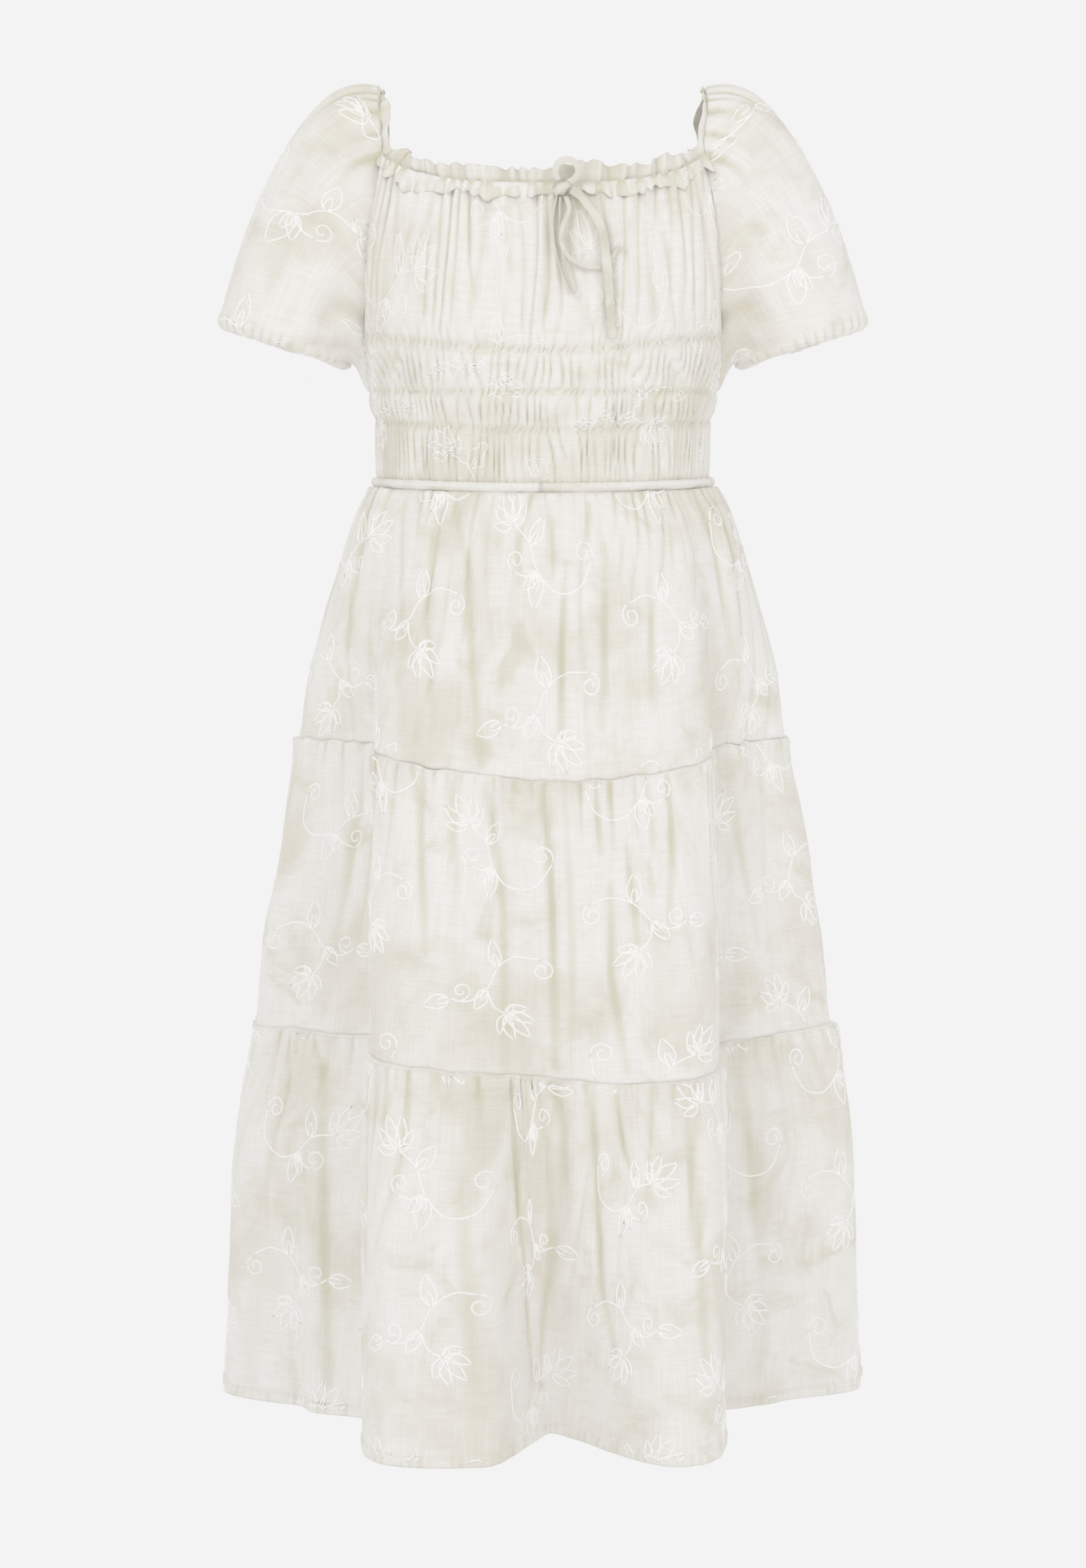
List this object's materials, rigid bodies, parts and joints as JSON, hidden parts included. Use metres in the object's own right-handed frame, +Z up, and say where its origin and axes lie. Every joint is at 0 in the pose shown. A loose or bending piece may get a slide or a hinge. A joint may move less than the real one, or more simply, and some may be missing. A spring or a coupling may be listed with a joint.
{
  "type": "dress",
  "caption": "Hollow tiered midi dress with a square gathered neck, neck frill and bow, smocked bodice, short puff sleeves and a gathered skirt, filled out as if worn.",
  "frame": {"origin": "middle of the shoulder line, midway between the two shoulders and between front and back, where the wearer holds the dress up", "axes": "+Z up, the front faces -Y, +X to the right of the front view, which is the wearer's left side"},
  "size_m": [0.5516, 0.5437, 1.1075],
  "materials": {
    "bodice_front": "matt slub cotton voile",
    "bodice_back": "matt slub cotton voile",
    "sleeve_left": "matt slub cotton voile",
    "sleeve_right": "matt slub cotton voile",
    "neck_frill": "matt slub cotton voile",
    "waist_piping": "matt slub cotton voile",
    "skirt_tier_1_front": "matt slub cotton voile",
    "skirt_tier_1_back": "matt slub cotton voile",
    "skirt_tier_2_front": "matt slub cotton voile",
    "skirt_tier_2_back": "matt slub cotton voile",
    "skirt_tier_3_front": "matt slub cotton voile",
    "skirt_tier_3_back": "matt slub cotton voile",
    "drawstring_knot": "narrow folded cotton tape",
    "drawstring_loop_upper": "narrow folded cotton tape",
    "drawstring_loop_lower": "narrow folded cotton tape",
    "drawstring_tail_a": "narrow folded cotton tape",
    "drawstring_tail_b": "narrow folded cotton tape"
  },
  "bodies": {
    "root": {"bodice_front": "bodice_front", "bodice_back": "bodice_back", "sleeve_left": "sleeve_left", "sleeve_right": "sleeve_right", "neck_frill": "neck_frill", "waist_piping": "waist_piping", "skirt_tier_1_front": "skirt_tier_1_front", "skirt_tier_1_back": "skirt_tier_1_back", "skirt_tier_2_front": "skirt_tier_2_front", "skirt_tier_2_back": "skirt_tier_2_back", "skirt_tier_3_front": "skirt_tier_3_front", "skirt_tier_3_back": "skirt_tier_3_back", "drawstring_knot": "drawstring_knot", "drawstring_loop_upper": "drawstring_loop_upper", "drawstring_loop_lower": "drawstring_loop_lower", "drawstring_tail_a": "drawstring_tail_a", "drawstring_tail_b": "drawstring_tail_b"}
  },
  "joints": []
}
